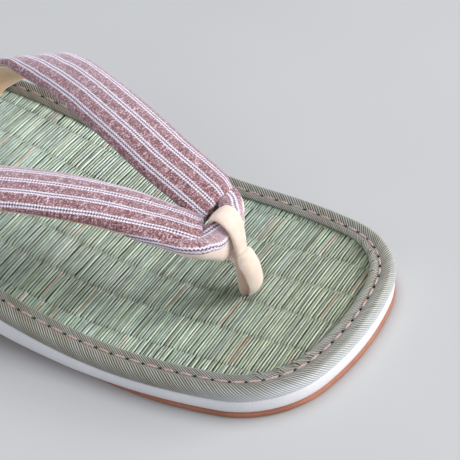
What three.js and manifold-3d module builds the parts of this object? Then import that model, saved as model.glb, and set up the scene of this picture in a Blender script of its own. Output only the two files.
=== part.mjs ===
// Zori sandal: a rush mat bound with tape, on a foam midsole and a thin outsole,
// with two padded cloth straps held by a cloth thong between the toes.
// Millimetres, +X to the toe, +Y to the wearer's left, +Z up from the floor.
import * as THREE from 'three';
import { mergeVertices } from 'three/addons/utils/BufferGeometryUtils.js';
import Module from 'manifold-3d';

const wasm = await Module();
wasm.setup();

// Driving sizes
const LENGTH = 260;
const TOE_X = LENGTH / 2;
const THONG_TO_TOE = 44.0;
const THONG_X = TOE_X - THONG_TO_TOE;
const GAP = 0.3;
const OUTSOLE_THICKNESS = 2.0;
const MAT_THICKNESS = 3.4;
const FOREFOOT_HEIGHT = 10.6;
const MAT_INSET = 1.7;
const BINDING_WIDTH = 8.6;
const STEM_CUT = 3;
const UPWARD = new THREE.Vector3(0, 0, 1);
const SIDEWAYS = new THREE.Vector3(0, 1, 0);
const SHARE_STEP = 0.004;
const MERGE_DISTANCE = 1e-4;

// Half outline from the toe tip to the heel tip, as arcs that meet smoothly.
// turn is in degrees, and the heel end closes on the centreline with the radius that fits.
const OUTLINE = [
  { stretch: 'toe front', radius: 104, turn: 12.2, steps: 4 },
  { stretch: 'toe corner', radius: 33.5, turn: 66.3, steps: 12 },
  { stretch: 'front side', radius: 208, turn: 11.5, steps: 5 },
  { stretch: 'rear side', radius: 1496, turn: 6, steps: 16 },
  { stretch: 'heel corner', radius: 35, turn: 54, steps: 10 },
  { stretch: 'heel end', radius: null, turn: 30, steps: 4 },
];

// Side view: how far the mat rises above the forefoot, how far the sole lifts off the floor,
// and how far the outsole is tucked in under the midsole. back is measured behind the thong hole.
const PROFILE = [
  { back: -60, rise: 0.0, lift: 0.0, tuck: 0.0 },
  { back: 0, rise: 0.0, lift: 0.0, tuck: 0.2 },
  { back: 20, rise: 0.0, lift: 0.0, tuck: 1.2 },
  { back: 35, rise: 0.7, lift: 0.0, tuck: 2.2 },
  { back: 48, rise: 2.4, lift: 0.8, tuck: 2.4 },
  { back: 61, rise: 5.0, lift: 2.2, tuck: 2.4 },
  { back: 75, rise: 8.8, lift: 4.4, tuck: 2.4 },
  { back: 90, rise: 13.6, lift: 6.0, tuck: 2.4 },
  { back: 105, rise: 18.2, lift: 5.6, tuck: 2.2 },
  { back: 120, rise: 22.2, lift: 3.2, tuck: 1.6 },
  { back: 134, rise: 24.8, lift: 0.6, tuck: 0.8 },
  { back: 143, rise: 25.8, lift: 0.0, tuck: 0.4 },
  { back: 165, rise: 26.6, lift: 0.0, tuck: 0.2 },
  { back: 230, rise: 26.6, lift: 0.0, tuck: 0.2 },
];

// Edge of the outsole: distance in from the tucked outline, and height above its underside.
const OUTSOLE_EDGE = [
  { inset: 1.4, up: 0.0 },
  { inset: 0.7, up: 0.5 },
  { inset: 0.5, up: OUTSOLE_THICKNESS },
];

// Side of the midsole: distance in from the outline, and share of its height.
const MIDSOLE_SIDE = [
  { inset: 1.5, share: 0.0 },
  { inset: 0.9, share: 0.15 },
  { inset: 0.5, share: 0.5 },
  { inset: 0.5, share: 0.85 },
  { inset: 0.9, share: 1.0 },
];

// Tape folded over the mat's edge: distance in from the outline, and height from the mat's top.
const BINDING_SECTION = [
  { inset: BINDING_WIDTH, up: GAP },
  { inset: BINDING_WIDTH, up: 0.85 },
  { inset: 7.2, up: 1.15 },
  { inset: 5.2, up: 0.85 },
  { inset: 3.6, up: 1.3 },
  { inset: 1.8, up: 1.1 },
  { inset: 0.5, up: 0.2 },
  { inset: 0.0, up: -1.4 },
  { inset: 0.1, up: -2.8 },
  { inset: 0.5, up: -MAT_THICKNESS },
  { inset: MAT_INSET - GAP, up: -MAT_THICKNESS },
  { inset: MAT_INSET - GAP, up: GAP },
];

// Centre line of one strap, from the mitred fold at the front to the tail in the sole.
// out is from the centre plane, up from the forefoot mat, roll lifts the outer edge (degrees),
// and mitre slants the section along the strap.
const STRAP = [
  { back: 12.6, out: 8.6, up: 24.9, width: 16.6, crown: 2.3, belly: 1.2, roll: 4, mitre: 0.26 },
  { back: 14.0, out: 8.9, up: 25.3, width: 19.4, crown: 3.4, belly: 1.6, roll: 4, mitre: 0.26 },
  { back: 24.0, out: 11.3, up: 28.3, width: 21.0, crown: 3.8, belly: 1.7, roll: 4, mitre: 0.1 },
  { back: 38.9, out: 15.2, up: 32.7, width: 21.8, crown: 3.9, belly: 1.7, roll: 2, mitre: 0 },
  { back: 53.0, out: 20.2, up: 36.1, width: 22.2, crown: 3.9, belly: 1.7, roll: 0, mitre: 0 },
  { back: 67.5, out: 25.7, up: 38.5, width: 22.4, crown: 3.9, belly: 1.7, roll: 0, mitre: 0 },
  { back: 82.0, out: 31.6, up: 39.8, width: 22.4, crown: 3.9, belly: 1.7, roll: -1, mitre: 0 },
  { back: 95.6, out: 37.0, up: 39.9, width: 22.8, crown: 3.9, belly: 1.7, roll: -1, mitre: 0 },
  { back: 108.0, out: 40.9, up: 39.0, width: 23.2, crown: 3.8, belly: 1.7, roll: -8, mitre: 0 },
  { back: 118.5, out: 42.4, up: 36.8, width: 22.0, crown: 3.6, belly: 1.7, roll: -26, mitre: 0 },
  { back: 126.5, out: 40.0, up: 34.2, width: 17.8, crown: 3.2, belly: 1.7, roll: -51, mitre: 0 },
  { back: 132.2, out: 35.6, up: 30.6, width: 12.6, crown: 2.8, belly: 1.7, roll: -74, mitre: 0 },
  { back: 135.2, out: 32.6, up: 24.4, width: 10.6, crown: 2.5, belly: 1.7, roll: -84, mitre: 0 },
  { back: 136.0, out: 31.6, up: 17.4, width: 10.0, crown: 2.4, belly: 1.7, roll: -87, mitre: 0 },
];
const STRAP_STEPS = 34;
const STRAP_SIDES = 16;
const ROUNDING = { across: 0.8, up: 0.88 };
const TAIL_ROWS = 3;
const TAIL_STEPS = 12;
const TAIL_ROOM = 0.5;

// Narrow neck from the outer part of one strap to the centre plane, where it meets the other neck.
const NECK = [
  { back: 21.0, out: 15.6, up: 29.2, width: 8.6, crown: 2.0, belly: 1.3, roll: 10 },
  { back: 12.4, out: 13.4, up: 28.2, width: 9.2, crown: 2.2, belly: 1.4, roll: 8 },
  { back: 8.2, out: 9.0, up: 27.6, width: 8.6, crown: 2.2, belly: 1.4, roll: -8 },
  { back: 6.6, out: 4.6, up: 26.6, width: 7.8, crown: 2.2, belly: 1.4, roll: -18 },
  { back: 6.2, out: 0.0, up: 25.8, width: 7.2, crown: 2.2, belly: 1.4, roll: -22 },
];
const NECK_STEPS = 20;

// Lining strip under a strap, given by where it starts and stops along the strap (0 to 1).
const LINING = { from: 0.11, to: 0.77, steps: 24, widthShare: 0.9, thickness: 1.3 };

// Thong strip over the strap joint, in the centre plane, from the front of the stem round to its back.
const THONG_LOOP = [
  { back: -0.4, up: 11.5, width: 5.6, thickness: 2.4 },
  { back: -0.5, up: 17.0, width: 6.0, thickness: 2.4 },
  { back: 0.0, up: 23.0, width: 7.2, thickness: 2.4 },
  { back: 1.6, up: 28.0, width: 8.6, thickness: 2.2 },
  { back: 5.4, up: 30.6, width: 9.6, thickness: 2.2 },
  { back: 9.9, up: 30.1, width: 9.4, thickness: 2.2 },
  { back: 12.1, up: 26.2, width: 8.4, thickness: 2.2 },
  { back: 10.6, up: 21.2, width: 7.4, thickness: 2.4 },
  { back: 6.0, up: 16.4, width: 6.6, thickness: 2.4 },
  { back: 1.6, up: 11.5, width: 5.4, thickness: 2.4 },
];
const LOOP_STEPS = 34;
const LOOP_SIDES = 10;

// Stem of the thong, from its rounded top to its foot in the sole.
const THONG_STEM = [
  { back: -0.2, up: 17.0, deep: 3.4, wide: 4.6 },
  { back: -0.6, up: 15.8, deep: 5.6, wide: 7.4 },
  { back: -1.2, up: 12.0, deep: 7.2, wide: 9.0 },
  { back: -1.6, up: 7.0, deep: 7.4, wide: 9.2 },
  { back: -1.0, up: 1.5, deep: 7.0, wide: 8.6 },
  { back: -0.6, up: -2.8, deep: 6.2, wide: 7.4 },
  { back: -0.4, up: -6.6, deep: 6.0, wide: 7.0 },
];
const STEM_STEPS = 12;
const STEM_SIDES = 12;

const LOOKS = {
  outsole: { color: 0xa8664e, roughness: 0.75, metalness: 0 },
  midsole: { color: 0xe9e9ea, roughness: 0.6, metalness: 0 },
  rush_mat: { color: 0x9aa57c, roughness: 0.55, metalness: 0 },
  edge_binding: { color: 0x8f8d74, roughness: 0.7, metalness: 0 },
  straps: { color: 0xa8746c, roughness: 0.85, metalness: 0 },
  strap_lining: { color: 0xd8b98f, roughness: 0.85, metalness: 0 },
  front_thong: { color: 0xf0d3b0, roughness: 0.9, metalness: 0 },
};

const radians = (degrees) => THREE.MathUtils.degToRad(degrees);

// Smooth value of one column at a place along a table's key column, with no overshoot between rows.
function column(rows, key, name, at) {
  const last = rows.length - 1;
  if (at <= rows[0][key]) return rows[0][name];
  if (at >= rows[last][key]) return rows[last][name];
  const step = (i) => (rows[i + 1][name] - rows[i][name]) / (rows[i + 1][key] - rows[i][key]);
  const slope = (i) => {
    if (i === 0) return step(0);
    if (i === last) return step(last - 1);
    const before = step(i - 1);
    const after = step(i);
    return before * after > 0 ? (2 * before * after) / (before + after) : 0;
  };
  const i = rows.findIndex((row, k) => k < last && at < rows[k + 1][key]);
  const span = rows[i + 1][key] - rows[i][key];
  const t = (at - rows[i][key]) / span;
  const keepStart = (2 * t ** 3 - 3 * t ** 2 + 1) * rows[i][name];
  const keepEnd = (3 * t ** 2 - 2 * t ** 3) * rows[i + 1][name];
  const leave = (t ** 3 - 2 * t ** 2 + t) * span * slope(i);
  const arrive = (t ** 3 - t ** 2) * span * slope(i + 1);
  return keepStart + keepEnd + leave + arrive;
}

const profile = (name, x) => column(PROFILE, 'back', name, THONG_X - x);
const matTop = (x) => FOREFOOT_HEIGHT + profile('rise', x);
const soleBottom = (x) => profile('lift', x);

// Stations of the half outline: the centre and radius of the arc and the direction it faces.
function outlineStations() {
  const stations = [];
  let edge = new THREE.Vector2(TOE_X, 0);
  let facing = 0;
  OUTLINE.forEach(({ radius, turn, steps }, row) => {
    const arcRadius = radius ?? edge.y / Math.sin(radians(facing));
    const facingAt = (angle) => new THREE.Vector2(Math.cos(radians(angle)), Math.sin(radians(angle)));
    const centre = edge.clone().addScaledVector(facingAt(facing), -arcRadius);
    for (let step = row === 0 ? 0 : 1; step <= steps; step += 1) {
      const outward = facingAt(facing + (turn * step) / steps);
      stations.push({ centre, outward, radius: arcRadius });
    }
    facing += turn;
    edge = centre.clone().addScaledVector(facingAt(facing), arcRadius);
  });
  return stations;
}

const STATIONS = outlineStations();
const TIP = STATIONS.length - 1;

// One closed ring of vertices around the sandal: left side from toe to heel, then the right side back.
// Its distance in from the outline and its height both depend on the place along the sandal.
function ring({ inset, up }) {
  const half = STATIONS.map(({ centre, outward, radius }) => {
    const edge = centre.clone().addScaledVector(outward, radius);
    const place = centre.clone().addScaledVector(outward, radius - inset(edge.x));
    return new THREE.Vector3(place.x, Math.max(place.y, 0), up(place.x));
  });
  const mirrored = half.slice(1, TIP).reverse();
  return [...half, ...mirrored.map(({ x, y, z }) => new THREE.Vector3(x, -y, z))];
}

function meshGeometry(points, faces) {
  const geometry = new THREE.BufferGeometry();
  geometry.setAttribute('position', new THREE.Float32BufferAttribute(points.flatMap((p) => p.toArray()), 3));
  geometry.setIndex(faces.flat());
  return geometry;
}

// Faces between neighbouring rings of equal length.
function wallFaces(count, from, to) {
  const faces = [];
  for (let i = 0; i < count; i += 1) {
    const j = (i + 1) % count;
    faces.push([from + i, from + j, to + j], [from + i, to + j, to + i]);
  }
  return faces;
}

// Cap across a ring, in strips from the left side to the right side.
function ringCap(start, pointsUp) {
  const faces = [];
  const count = 2 * TIP;
  const right = (i) => start + ((count - i) % count);
  for (let i = 0; i < TIP; i += 1) {
    if (i > 0) faces.push([start + i, start + i + 1, right(i)]);
    if (i + 1 < TIP) faces.push([start + i + 1, right(i + 1), right(i)]);
  }
  return pointsUp ? faces : faces.map(([a, b, c]) => [a, c, b]);
}

// Solid layer of the sole from rings given from the bottom to the top.
function layer(rings) {
  const points = rings.flatMap(ring);
  const count = 2 * TIP;
  const faces = [...ringCap(0, false), ...ringCap((rings.length - 1) * count, true)];
  for (let k = 0; k + 1 < rings.length; k += 1) {
    faces.push(...wallFaces(count, k * count, (k + 1) * count));
  }
  return meshGeometry(points, faces);
}

// Closed band around the sandal, from rings that go round its section.
function band(rings) {
  const points = rings.flatMap(ring);
  const count = 2 * TIP;
  const faces = rings.flatMap((_, k) => wallFaces(count, ((k + 1) % rings.length) * count, k * count));
  return meshGeometry(points, faces);
}

// Rounded section with a crowned top and a flatter underside, as (across, up) pairs.
function paddedSection({ width, crown, belly }, sides) {
  return Array.from({ length: sides }, (_, k) => {
    const angle = (2 * Math.PI * k) / sides;
    const across = Math.cos(angle);
    const up = Math.sin(angle);
    const height = up > 0 ? crown : belly;
    return [
      (width / 2) * Math.sign(across) * Math.abs(across) ** ROUNDING.across,
      height * Math.sign(up) * Math.abs(up) ** ROUNDING.up,
    ];
  });
}

// Solid through sections: each has a place, its across and up directions and its outline.
// Seen along the run of the sections, up is a quarter turn to the left of across.
function loft(sections) {
  const count = sections[0].outline.length;
  const points = sections.flatMap(({ place, across, up, outline }) =>
    outline.map(([a, u]) => place.clone().addScaledVector(across, a).addScaledVector(up, u)));
  const faces = [];
  for (let k = 0; k + 1 < sections.length; k += 1) {
    faces.push(...wallFaces(count, (k + 1) * count, k * count));
  }
  const end = (sections.length - 1) * count;
  for (let i = 1; i + 1 < count; i += 1) {
    faces.push([0, i, i + 1], [end, end + i + 1, end + i]);
  }
  return meshGeometry(points, faces);
}

// Smooth reading of a table of sections at a share of its length (0 to 1).
function readTable(rows, share) {
  const numbered = rows.map((row, index) => ({ ...row, index }));
  const at = share * (rows.length - 1);
  const names = Object.keys(rows[0]);
  return Object.fromEntries(names.map((name) => [name, column(numbered, 'index', name, at)]));
}

const placeOf = ({ back, out = 0, up }) => new THREE.Vector3(THONG_X - back, out, FOREFOOT_HEIGHT + up);

// Direction of a table's path at a share of its length.
function runOf(rows, share) {
  const ahead = placeOf(readTable(rows, Math.min(share + SHARE_STEP, 1)));
  const behind = placeOf(readTable(rows, Math.max(share - SHARE_STEP, 0)));
  return ahead.sub(behind).normalize();
}

// Section of a strap or neck: across is level and points outwards, then turned by the roll.
function strapSection(rows, share, outlineOf) {
  const row = readTable(rows, share);
  const run = runOf(rows, share);
  const level = run.clone().cross(UPWARD).normalize();
  const across = level.clone().multiplyScalar(Math.cos(radians(row.roll)));
  across.addScaledVector(level.cross(run), Math.sin(radians(row.roll)));
  const up = across.clone().cross(run);
  const slanted = across.clone().addScaledVector(run, -(row.mitre ?? 0));
  return { place: placeOf(row), across: slanted, up, outline: outlineOf(row) };
}

// Section of the thong, which keeps to the centre plane.
function thongSection(rows, share, outlineOf) {
  const row = readTable(rows, share);
  const across = SIDEWAYS.clone();
  const up = across.clone().cross(runOf(rows, share));
  return { place: placeOf(row), across, up, outline: outlineOf(row) };
}

// A last section moved on along the run, so that a cutter is longer than the piece it makes room for.
function lengthened(sections, by) {
  const [before, last] = sections.slice(-2);
  const run = last.place.clone().sub(before.place).normalize();
  return [...sections, { ...last, place: last.place.clone().addScaledVector(run, by) }];
}

const shares = (steps, from = 0, to = 1) =>
  Array.from({ length: steps + 1 }, (_, k) => from + ((to - from) * k) / steps);

function solidOf(geometry) {
  const bare = geometry.clone();
  bare.deleteAttribute('normal');
  bare.deleteAttribute('uv');
  const merged = mergeVertices(bare, MERGE_DISTANCE);
  const mesh = new wasm.Mesh({
    numProp: 3,
    vertProperties: new Float32Array(merged.attributes.position.array),
    triVerts: new Uint32Array(merged.index.array),
  });
  return new wasm.Manifold(mesh);
}

function geometryOf(solid) {
  const mesh = solid.getMesh();
  const geometry = new THREE.BufferGeometry();
  geometry.setAttribute('position', new THREE.BufferAttribute(new Float32Array(mesh.vertProperties), 3));
  geometry.setIndex(new THREE.BufferAttribute(new Uint32Array(mesh.triVerts), 1));
  return geometry;
}

const join = (geometries) => geometryOf(geometries.map(solidOf).reduce((whole, piece) => whole.add(piece)));
const cut = (geometry, tools) =>
  geometryOf(tools.map(solidOf).reduce((whole, tool) => whole.subtract(tool), solidOf(geometry)));

// The other side's copy of a piece, with its faces turned back outwards.
function mirrored(geometry) {
  const copy = geometry.clone().applyMatrix4(new THREE.Matrix4().makeScale(1, -1, 1));
  const order = Array.from(copy.index.array);
  for (let i = 0; i < order.length; i += 3) [order[i + 1], order[i + 2]] = [order[i + 2], order[i + 1]];
  copy.setIndex(order);
  return copy;
}

const grown = ({ width, crown, belly }, spare) =>
  paddedSection({ width: width + 2 * spare, crown: crown + spare, belly: belly + spare }, STRAP_SIDES);

function strapArm() {
  const sections = shares(STRAP_STEPS).map((share) => strapSection(STRAP, share, (row) => grown(row, 0)));
  return loft(sections);
}

// Room for a strap's tail in the mat and the midsole.
function tailCutter() {
  const from = 1 - TAIL_ROWS / (STRAP.length - 1);
  const roomOf = (row) => grown(row, TAIL_ROOM);
  const sections = shares(TAIL_STEPS, from).map((share) => strapSection(STRAP, share, roomOf));
  return loft(lengthened(sections, GAP));
}

// Both necks in one run, from the right strap over the centre to the left strap.
function neckBridge() {
  const right = NECK.map((row) => ({ ...row, out: -row.out }));
  const rows = [...right, ...NECK.slice(0, -1).reverse()];
  return loft(shares(NECK_STEPS).map((share) => strapSection(rows, share, (row) => grown(row, 0))));
}

function liningStrip() {
  const { from, to, steps, widthShare, thickness } = LINING;
  const outlineOf = ({ width, belly }) => {
    const half = (width * widthShare) / 2;
    const top = -belly - GAP;
    const edge = half - thickness / 2;
    return [[half, top - thickness / 2], [edge, top], [-edge, top], [-half, top - thickness / 2],
      [-edge, top - thickness], [edge, top - thickness]];
  };
  return loft(shares(steps, from, to).map((share) => strapSection(STRAP, share, outlineOf)));
}

function thongLoop() {
  const outlineOf = ({ width, thickness }) =>
    paddedSection({ width, crown: thickness / 2, belly: thickness / 2 }, LOOP_SIDES);
  return loft(shares(LOOP_STEPS).map((share) => thongSection(THONG_LOOP, share, outlineOf)));
}

function stemSections(spare) {
  const outlineOf = ({ deep, wide }) =>
    Array.from({ length: STEM_SIDES }, (_, k) => {
      const angle = (2 * Math.PI * k) / STEM_SIDES;
      return [(wide / 2 + spare) * Math.cos(angle), (deep / 2 + spare) * Math.sin(angle)];
    });
  return shares(STEM_STEPS).map((share) => thongSection(THONG_STEM, share, outlineOf));
}

function outsole() {
  return layer(OUTSOLE_EDGE.map(({ inset, up }) => ({
    inset: (x) => inset + profile('tuck', x),
    up: (x) => soleBottom(x) + up,
  })));
}

function midsole(cutters) {
  const bottom = (x) => soleBottom(x) + OUTSOLE_THICKNESS + GAP;
  const top = (x) => matTop(x) - MAT_THICKNESS - GAP;
  const body = layer(MIDSOLE_SIDE.map(({ inset, share }) => ({
    inset: () => inset,
    up: (x) => bottom(x) + share * (top(x) - bottom(x)),
  })));
  return cut(body, cutters);
}

function rushMat(cutters) {
  const body = layer([
    { inset: () => MAT_INSET, up: (x) => matTop(x) - MAT_THICKNESS },
    { inset: () => MAT_INSET, up: matTop },
  ]);
  return cut(body, cutters);
}

function edgeBinding() {
  return band(BINDING_SECTION.map(({ inset, up }) => ({ inset: () => inset, up: (x) => matTop(x) + up })));
}

function sandal() {
  const tail = tailCutter();
  const stem = loft(stemSections(0));
  const stemRoom = loft(lengthened(stemSections(GAP), STEM_CUT));
  const cutters = [stemRoom, tail, mirrored(tail)];
  const arm = strapArm();
  const lining = liningStrip();
  const pieces = [
    ['outsole', LOOKS.outsole, outsole()],
    ['midsole', LOOKS.midsole, midsole(cutters)],
    ['rush_mat', LOOKS.rush_mat, rushMat(cutters)],
    ['edge_binding', LOOKS.edge_binding, edgeBinding()],
    ['straps', LOOKS.straps, join([arm, mirrored(arm), neckBridge()])],
    ['strap_lining_left', LOOKS.strap_lining, lining],
    ['strap_lining_right', LOOKS.strap_lining, mirrored(lining)],
    ['front_thong', LOOKS.front_thong, join([thongLoop(), stem])],
  ];
  const group = new THREE.Group();
  pieces.forEach(([name, look, geometry]) => {
    const mesh = new THREE.Mesh(geometry, new THREE.MeshStandardMaterial(look));
    mesh.name = name;
    group.add(mesh);
  });
  return group;
}

export default sandal();
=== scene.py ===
import math

import bmesh
import bpy
import numpy as np
from mathutils import Matrix, Vector


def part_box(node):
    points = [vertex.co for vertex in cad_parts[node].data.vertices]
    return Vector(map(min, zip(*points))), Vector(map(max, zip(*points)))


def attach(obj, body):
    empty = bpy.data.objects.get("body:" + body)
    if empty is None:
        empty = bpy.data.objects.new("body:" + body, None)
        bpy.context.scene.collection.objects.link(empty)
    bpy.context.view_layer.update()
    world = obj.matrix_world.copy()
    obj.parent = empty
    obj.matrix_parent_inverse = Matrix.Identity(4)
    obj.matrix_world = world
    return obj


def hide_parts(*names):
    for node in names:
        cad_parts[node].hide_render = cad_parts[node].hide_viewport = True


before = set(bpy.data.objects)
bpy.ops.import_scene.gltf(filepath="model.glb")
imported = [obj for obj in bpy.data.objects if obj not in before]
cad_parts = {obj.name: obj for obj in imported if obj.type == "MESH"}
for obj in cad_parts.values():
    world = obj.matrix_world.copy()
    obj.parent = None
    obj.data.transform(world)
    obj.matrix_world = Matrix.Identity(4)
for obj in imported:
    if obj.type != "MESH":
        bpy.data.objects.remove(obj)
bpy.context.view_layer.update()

# Sizes are in millimetres, in the sandal's own frame: +X to the toe, +Y to the wearer's left, +Z up.
MM = 0.001


def table(columns, *rows):
    """Rows of a table with named columns."""
    names = columns.split()
    return [dict(zip(names, row)) for row in rows]


# Half outline of the sole from toe tip to heel tip, as arcs that meet smoothly (turn in degrees).
OUTLINE = table(
    "radius turn",
    (104, 12.2),
    (33.5, 66.3),
    (208, 11.5),
    (1496, 6),
    (35, 54),
    (None, 30),
)

# Side view, by distance behind the thong: rise of the mat, lift off the floor, tuck of the outsole.
PROFILE = table(
    "back rise lift tuck",
    (-60, 0.0, 0.0, 0.0),
    (0, 0.0, 0.0, 0.2),
    (20, 0.0, 0.0, 1.2),
    (35, 0.7, 0.0, 2.2),
    (48, 2.4, 0.8, 2.4),
    (61, 5.0, 2.2, 2.4),
    (75, 8.8, 4.4, 2.4),
    (90, 13.6, 6.0, 2.4),
    (105, 18.2, 5.6, 2.2),
    (120, 22.2, 3.2, 1.6),
    (134, 24.8, 0.6, 0.8),
    (143, 25.8, 0.0, 0.4),
    (165, 26.6, 0.0, 0.2),
    (230, 26.6, 0.0, 0.2),
)

# Driving sizes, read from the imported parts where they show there
TOE_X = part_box("edge_binding")[1].x / MM
THONG_TO_TOE = 44.0
THONG_X = TOE_X - THONG_TO_TOE
FOREFOOT_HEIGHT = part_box("rush_mat")[1].z / MM - PROFILE[-1]["rise"]
OUTSOLE_THICKNESS = 2.0
MAT_THICKNESS = 3.4
MAT_INSET = 1.7
SOLE_STATIONS = 360
OUTLINE_SAMPLES = 600
PROFILE_SAMPLES = 800

# Edge of the outsole and side of the midsole: distance in from the outline, and height.
OUTSOLE_EDGE = table("inset up", (1.5, 0.0), (0.95, 0.12), (0.6, 0.5), (0.5, 1.2), (0.55, 2.0))
MIDSOLE_SIDE = table(
    "inset share",
    (1.6, 0.0),
    (1.1, 0.06),
    (0.75, 0.2),
    (0.5, 0.5),
    (0.45, 0.8),
    (0.6, 0.94),
    (1.0, 1.0),
)

# Weave of the mat: rushes lie across, in bands between hidden warps.
BAND_WIDTH = 15.15
BAND_EDGE = -4.8
BAND_TURN = math.radians(2.78)
RUSH_PITCH = 1.04
RUSH_LEAN_BY_BAND = math.radians(0.6)
RUSH_OVERLAP = 1.9
RUSH_HEIGHT = 0.46
RUSH_DIP = 0.42
RUSH_LIFT = 0.12
RUSH_THINNING = 0.35
RUSH_COVER_INSET = 4.0
RUSH_GRID = {"x_segments": 8, "y_segments": 4}
RUSH_STEPS = 61
LEAST_STEPS = 6
BANDS = range(-4, 5)
MAT_REACH = 1.1
CORE_DROP = 0.5

# Chance in the weave: spreads of place, lean, length, height and bow, ranges of size, and tones.
WEAVE_SEED = 7
PITCH_SPREAD = 0.05
LEAN_SPREAD = 0.012
LENGTH_SPREAD = 0.15
RAISE_SPREAD = 0.04
BOW_SPREAD = 0.09
WIDTH_RANGE = (0.72, 0.88)
HEIGHT_RANGE = (0.8, 1.15)
TONE_MIDDLE = 0.5
TONE_SPREAD = 0.12
TONE_RANGE = (0.1, 0.95)
BROWN_SHARE = 0.04
# Painted shade: each rush darkens towards its ends, where it passes under the warps.
END_SHADE = 0.18

# Binding tape: distance in from the outline, height from the mat's top, and how far its ribs stand.
TAPE_SECTION = table(
    "inset up rib",
    (8.5, 0.0, 0.0),
    (8.65, 0.4, 0.4),
    (8.3, 0.86, 0.9),
    (7.5, 1.16, 1.0),
    (6.4, 1.06, 1.0),
    (5.2, 0.34, 0.7),
    (4.3, 0.78, 1.0),
    (3.3, 1.24, 1.0),
    (2.2, 1.3, 1.0),
    (1.2, 0.92, 1.0),
    (0.45, 0.2, 1.0),
    (0.1, -0.7, 1.0),
    (0.0, -1.7, 0.9),
    (0.12, -2.6, 0.6),
    (0.5, -3.3, 0.2),
    (1.3, -3.4, 0.0),
    (1.3, 0.0, 0.0),
)
STITCH_ROW = 5
RIB_PITCH = 1.14
RIB_COLUMNS = 4
RIB_HEIGHT = 0.11
RIB_SLANT_OUTSIDE = 1.15
RIB_SLANT_INSIDE = 1.6
STITCH_PITCH = 6.3

# Thread dashes and needle holes: shift in stitches, half length, half width, half height,
# and height over the stitch line.
THREAD_DASH = (0.5, 2.25, 0.46, 0.4, 0.3)
NEEDLE_HOLE = (0.0, 0.6, 0.5, 0.34, 0.16)
STITCH_MESH = {"u_segments": 8, "v_segments": 6, "radius": 1.0}
SLOPE_STEP = 1.0

# Small puckers of the tape: way round the outline, distance in from it, length, width and height.
PUCKERS = table(
    "way inset length width height",
    (48.5, 7.2, 1.1, 1.5, 1.3),
    (40.7, 7.3, 1.1, 1.4, 1.4),
    (33.5, 7.4, 1.0, 1.3, 1.0),
    (26.7, 7.6, 1.1, 1.4, 1.3),
    (-23.2, 6.6, 1.1, 1.5, 1.4),
    (-29.6, 6.6, 1.1, 1.5, 1.6),
    (-36.7, 6.6, 1.1, 1.5, 1.6),
    (-45.2, 7.2, 1.1, 1.4, 1.3),
)

# Strap, from behind its fold to its tail: behind the thong, out from the centre plane,
# up from the forefoot mat, width, crown, belly, roll that lifts the outer edge, slant of the section.
STRAP_COLUMNS = "back out up width crown belly roll mitre"
STRAP = table(
    STRAP_COLUMNS,
    (24.0, 11.3, 28.3, 21.0, 3.8, 1.7, 4, 0),
    (38.9, 15.2, 32.7, 21.8, 3.9, 1.7, 2, 0),
    (53.0, 20.2, 36.1, 22.2, 3.9, 1.7, 0, 0),
    (67.5, 25.7, 38.5, 22.4, 3.9, 1.7, 0, 0),
    (82.0, 31.6, 39.8, 22.4, 3.9, 1.7, -1, 0),
    (95.6, 37.0, 39.9, 22.8, 3.9, 1.7, -1, 0),
    (108.0, 40.9, 39.0, 23.2, 3.8, 1.7, -8, 0),
    (118.5, 42.4, 36.8, 22.0, 3.6, 1.7, -26, 0),
    (126.5, 40.0, 34.2, 17.8, 3.2, 1.7, -51, 0),
    (132.2, 35.6, 30.6, 12.6, 2.8, 1.7, -74, 0),
    (135.2, 32.6, 24.4, 10.6, 2.5, 1.7, -84, 0),
    (136.0, 31.6, 17.4, 10.0, 2.4, 1.7, -87, 0),
)

# Front of each strap, where it folds: the right one reaches further forward.
STRAP_FRONT = {
    "left": table(STRAP_COLUMNS, (14.0, 8.6, 25.0, 19.4, 3.6, 1.7, 5, -0.21)),
    "right": table(
        STRAP_COLUMNS,
        (10.6, 7.7, 24.6, 16.2, 3.5, 1.7, -3, 0.24),
        (16.5, 9.3, 26.3, 18.6, 3.6, 1.7, 0, 0.1),
    ),
}

# Outer edge of each strap that doesn't fold but runs on into the neck: its width and how far back.
FOLD_TRIM = {"left": (1.6, 8.0), "right": (5.2, 12.0)}

# Soft ridges and troughs of the straps: behind the thong, from the strap's middle, reaches and height.
CREASE_COLUMNS = "back across reach_back reach_across height"
CREASES = {
    "left": table(
        CREASE_COLUMNS,
        (17.5, -4.5, 2.2, 4.0, -0.45),
        (19.0, 5.0, 2.6, 3.0, 0.4),
        (26.0, -7.5, 4.0, 2.5, -0.4),
        (44.0, 9.2, 1.4, 1.2, 0.2),
        (71.0, 9.6, 1.2, 1.0, 0.3),
        (88.0, -6.0, 6.0, 4.0, -0.4),
        (101.0, 3.0, 4.0, 6.0, -0.5),
    ),
    "right": table(
        CREASE_COLUMNS,
        (13.0, -3.0, 2.4, 4.0, -0.4),
        (15.5, 4.5, 2.6, 3.0, 0.4),
        (24.0, 7.5, 4.0, 2.5, -0.45),
        (33.0, -6.0, 5.0, 3.0, 0.35),
        (58.0, 6.0, 3.0, 4.0, -0.4),
        (84.0, -5.0, 6.0, 4.0, -0.4),
        (101.0, 3.0, 4.0, 6.0, -0.5),
    ),
}

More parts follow.
